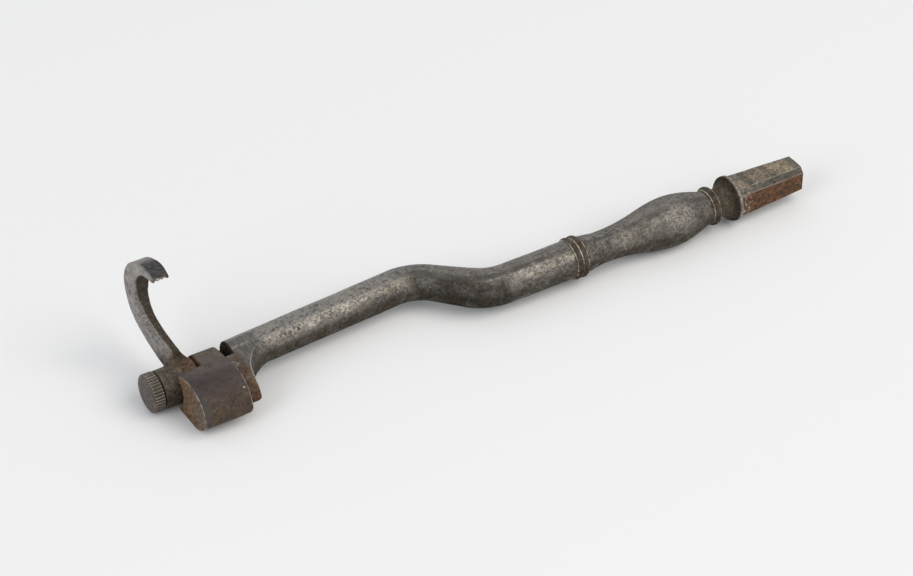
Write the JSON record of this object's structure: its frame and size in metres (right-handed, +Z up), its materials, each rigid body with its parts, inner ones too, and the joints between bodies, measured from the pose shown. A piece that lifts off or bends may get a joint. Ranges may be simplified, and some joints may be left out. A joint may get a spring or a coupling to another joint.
{
  "type": "dental key",
  "caption": "Antique tooth key: cranked steel shank with a turned grip and a square tang, and a hooked claw hinged beside a bolster on a thumbscrew.",
  "frame": {"origin": "on the table plane, under the middle of the key's box", "axes": "+X along the handle from the claw end to the tang, +Y from the bolster's nose to the claw's side, +Z up, with the key lying as pictured"},
  "size_m": [0.165, 0.036, 0.0295],
  "materials": {
    "pitted_steel": "pitted, with rust by the foot",
    "handle_steel": "turned and pitted",
    "ring_steel": "turned, with pale braze lines",
    "tang_steel": "rusty, with crusty remains",
    "bolster_steel": "dark brown patina with bright worn edges",
    "claw_steel": "filed, with brown stains",
    "screw_steel": "worn smooth on the face",
    "pin_steel": "plain"
  },
  "bodies": {
    "key_body": {"shank": "pitted_steel", "collar_ring": "ring_steel", "baluster": "handle_steel", "rear_ring": "ring_steel", "tail_tang": "tang_steel", "bolster": "bolster_steel", "bolster_dowels": "pin_steel"},
    "claw_body": {"claw": "claw_steel"},
    "washer_body": {"thrust_washer": "pin_steel"},
    "screw_body": {"thumbscrew": "screw_steel"}
  },
  "joints": [
    {"name": "claw_swing", "type": "hinge", "parent": "key_body", "child": "claw_body", "pos_m": [-0.07476, -0.00251, 0.00475], "axis": [1, 0, 0], "range_deg": [-120, 35]},
    {"name": "washer_slide", "type": "slide", "parent": "key_body", "child": "washer_body", "axis": [-1, 0, 0], "range_m": [0, 0.007]},
    {"name": "screw_turn", "type": "hinge", "parent": "washer_body", "child": "screw_body", "pos_m": [-0.08125, -0.00251, 0.00475], "axis": [-1, 0, 0], "range_deg": [0, 3600]}
  ],
  "couplings": [
    {"joint": "screw_turn", "follows": "washer_slide", "rad_per_m": 8976}
  ]
}
